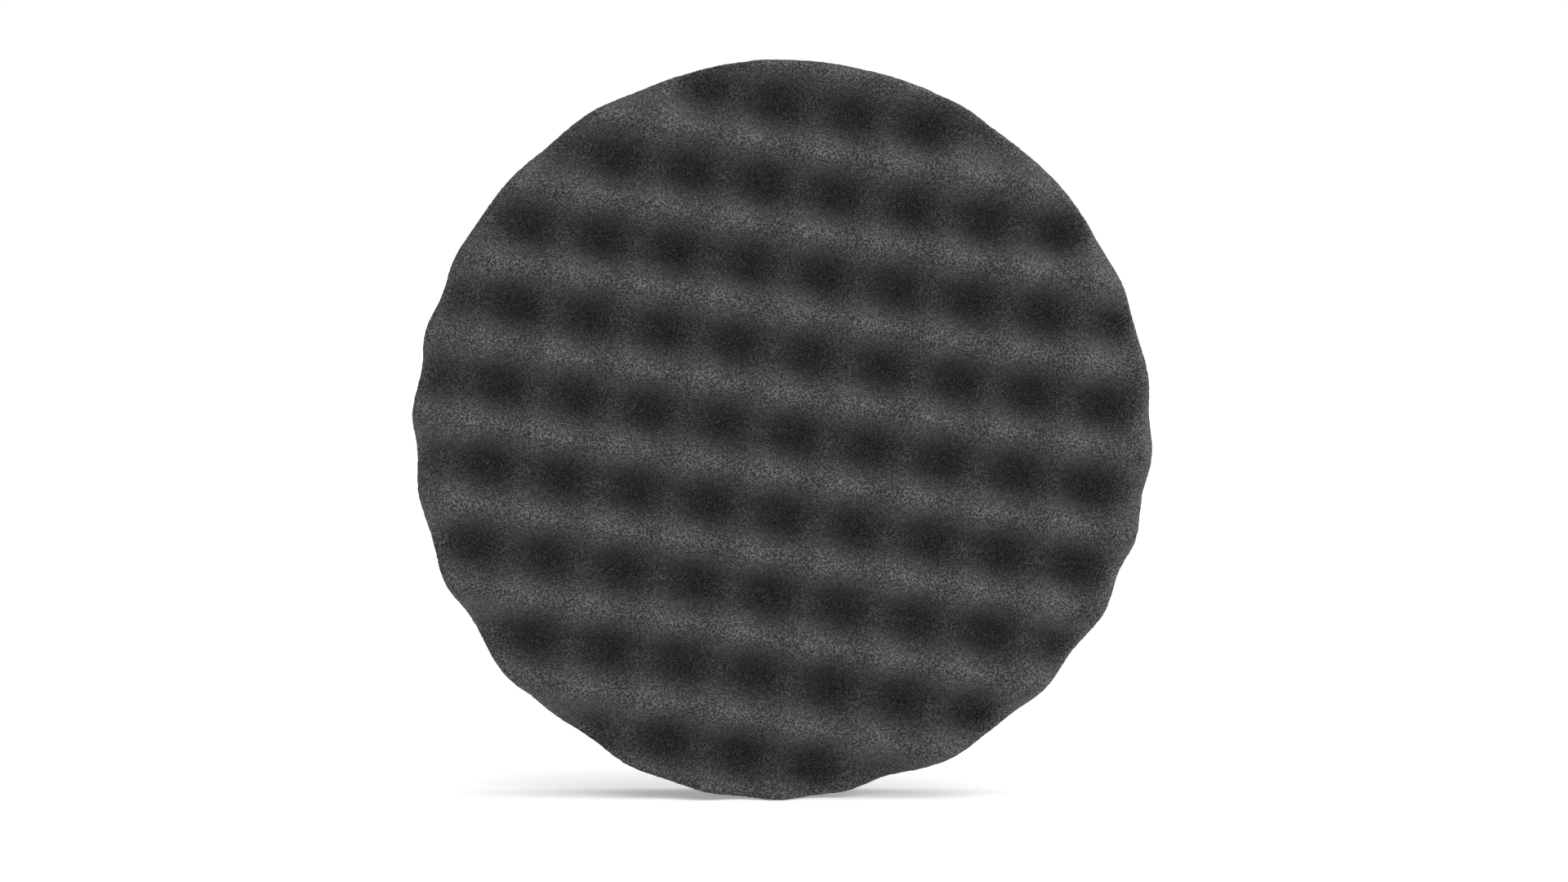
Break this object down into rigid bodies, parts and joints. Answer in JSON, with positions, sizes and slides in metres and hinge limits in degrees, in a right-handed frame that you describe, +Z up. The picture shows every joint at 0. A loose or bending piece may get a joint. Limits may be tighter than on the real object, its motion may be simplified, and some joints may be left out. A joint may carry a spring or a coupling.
{
  "type": "polishing pad",
  "caption": "Round single-sided polishing pad of black convoluted open-cell foam, bonded to a loop fabric back with a centring hole.",
  "frame": {"origin": "centre of the loop face, on the pad's axis at the mouth of the centring hole", "axes": "+Y out of the loop back towards the machine's backing plate, working face towards -Y, +Z up with the pad standing on its rim"},
  "size_m": [0.2028, 0.0343, 0.2031],
  "materials": {
    "foam": "matte open-cell polyurethane foam",
    "hot_melt": "satin hot-melt adhesive film",
    "ground_knit": "matte warp-knitted nylon",
    "loop_yarn": "matte brushed nylon loops"
  },
  "bodies": {
    "root": {"foam_disc": "foam", "bond_film": "hot_melt", "loop_ground": "ground_knit", "loop_pile": "loop_yarn"}
  },
  "joints": []
}
